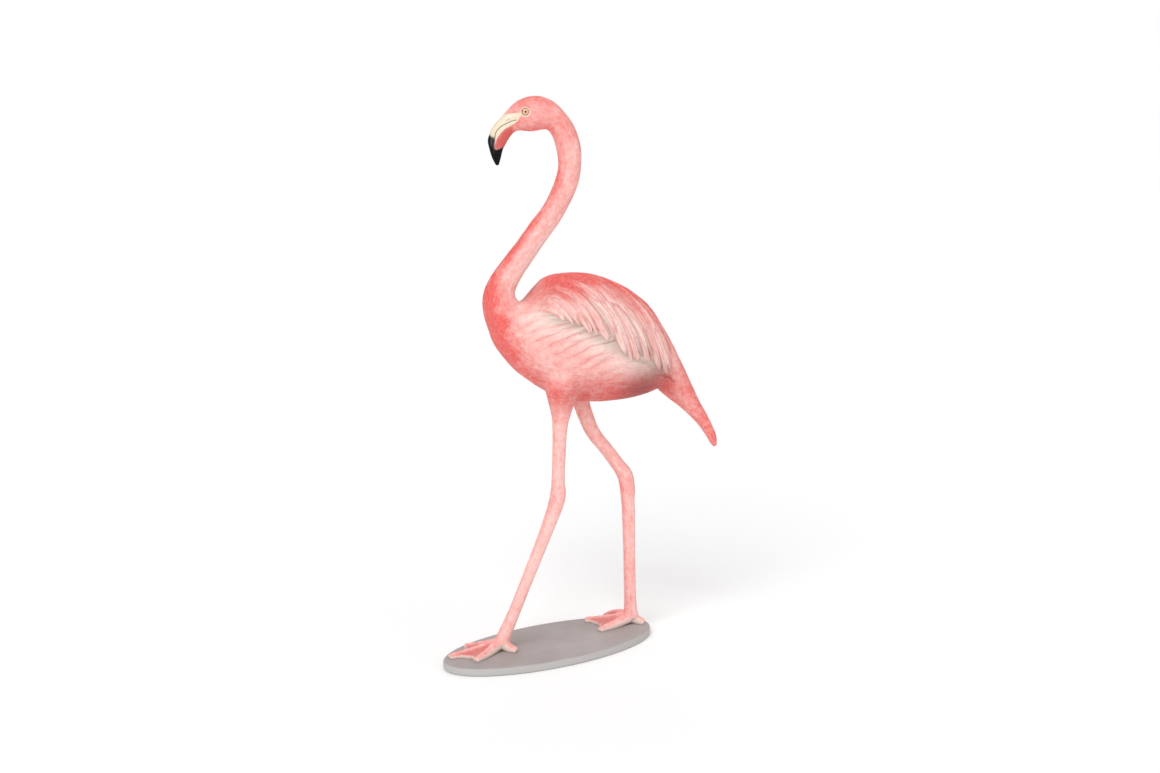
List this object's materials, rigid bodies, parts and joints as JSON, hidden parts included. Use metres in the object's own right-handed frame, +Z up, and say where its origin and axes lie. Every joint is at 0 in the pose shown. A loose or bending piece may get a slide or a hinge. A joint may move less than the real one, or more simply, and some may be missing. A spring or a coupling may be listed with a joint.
{
  "type": "flamingo sculpture",
  "caption": "Life-size walking flamingo figure with an S-curved neck, down-bent bill, folded wings and webbed feet, cast onto an oval plate that it stands on.",
  "frame": {"origin": "centre of the oval plate's flat underside", "axes": "+Z up from the plate's underside to the crown of the head; the bird walks along -X with its left side towards -Y; the plate's long axis is turned 17 degrees about +Z from +X"},
  "size_m": [0.6922, 0.2826, 1.3011],
  "materials": {
    "painted_resin_pink": "cast resin, hand-painted in pinks with a satin coat, fine carved feather strokes",
    "painted_resin_grey": "cast resin, painted warm grey, matte"
  },
  "bodies": {
    "root": {"flamingo": "painted_resin_pink", "oval_plate": "painted_resin_grey"}
  },
  "joints": []
}
